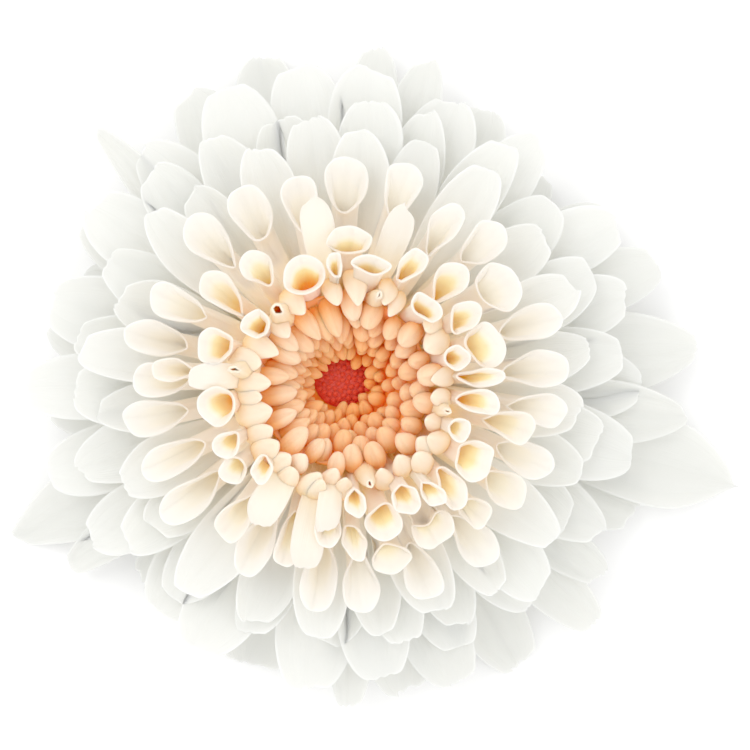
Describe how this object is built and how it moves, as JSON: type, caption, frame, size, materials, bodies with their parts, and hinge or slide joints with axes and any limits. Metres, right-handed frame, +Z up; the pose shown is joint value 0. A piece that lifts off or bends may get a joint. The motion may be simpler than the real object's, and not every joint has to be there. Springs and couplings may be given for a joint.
{
  "type": "pompon chrysanthemum bloom",
  "caption": "Cut pompon chrysanthemum bloom lying face up: white ray petals, cream quilled florets, peach buds round a red heart, green cup under it.",
  "frame": {"origin": "centre of the cut stem's flat end, on the surface that the bloom rests on", "axes": "+Z up out of the bloom's face, +X towards the longest outer petal, +Y across it"},
  "size_m": [0.0849, 0.0786, 0.0293],
  "materials": {
    "stem": "matt green plant skin, paler moist pith on the cut end",
    "bract": "matt green bracts with a pale papery edge",
    "ray_petal": "soft satin petal, cool white turning cream at the claw, faint lengthwise veins",
    "quill": "soft satin petal, cream lips and ochre inside the tubes",
    "bud": "waxy peach buds, more orange at their feet",
    "heart": "velvety red-orange points"
  },
  "bodies": {
    "root": {"cut_stem": "stem", "involucre": "bract", "ray_petals": "ray_petal", "quilled_florets": "quill", "centre_buds": "bud", "heart": "heart"}
  },
  "joints": []
}
